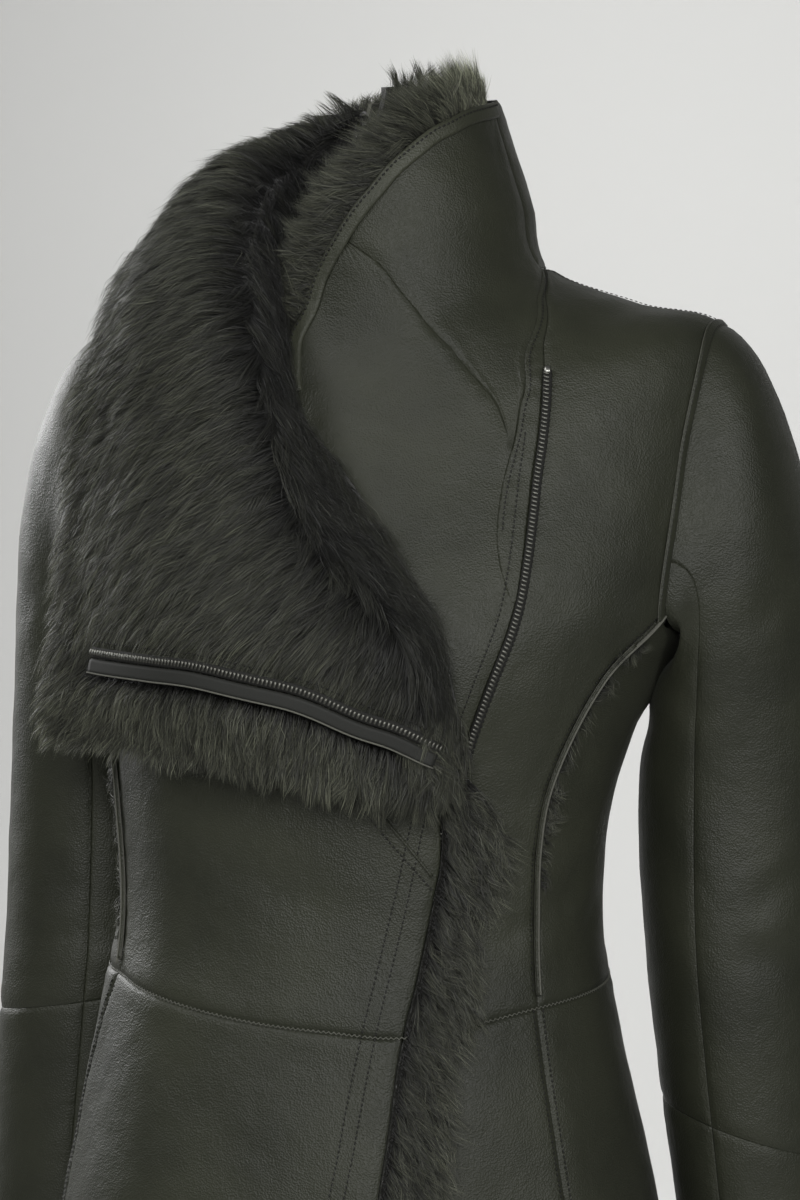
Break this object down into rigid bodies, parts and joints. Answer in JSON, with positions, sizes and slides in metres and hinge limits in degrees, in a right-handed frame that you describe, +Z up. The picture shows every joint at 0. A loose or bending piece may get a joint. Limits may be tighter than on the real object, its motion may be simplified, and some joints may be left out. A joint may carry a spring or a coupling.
{
  "type": "shearling coat",
  "caption": "Hip-length fitted coat of sheepskin with an asymmetric zip front, a tall collar and a wide turned-back woolly lapel, in its worn shape.",
  "frame": {"origin": "base of the neck, midway between the shoulder seams, where the coat hangs on its wearer", "axes": "+Z up, the front faces -Y, +X is the wearer's left"},
  "size_m": [0.559, 0.3519, 0.9174],
  "materials": {
    "leather": "satin",
    "wool": "long pile",
    "binding": "satin",
    "zip": "satin"
  },
  "bodies": {
    "root": {"back": "leather", "side_left": "leather", "side_right": "leather", "front_left": "leather", "front_left_centre": "leather", "neck_band": "leather", "front_right": "leather", "skirt_front_left": "leather", "skirt_side_left": "leather", "skirt_back": "leather", "skirt_side_right": "leather", "skirt_front_right": "leather", "collar_left": "leather", "collar_back": "leather", "sleeve_left_outer": "leather", "sleeve_left_inner": "leather", "cuff_left_outer": "leather", "cuff_left_inner": "leather", "sleeve_right_outer": "leather", "sleeve_right_inner": "leather", "cuff_right_outer": "leather", "cuff_right_inner": "leather", "zip_guard": "leather", "princess_ridge_left": "leather", "princess_ridge_right": "leather", "armhole_band_left": "leather", "armhole_band_right": "leather", "lapel": "wool", "collar_fur_left": "wool", "collar_fur_back": "wool", "front_fur": "wool", "zip_left": "zip", "zip_right": "zip", "collar_binding": "binding"}
  },
  "joints": []
}
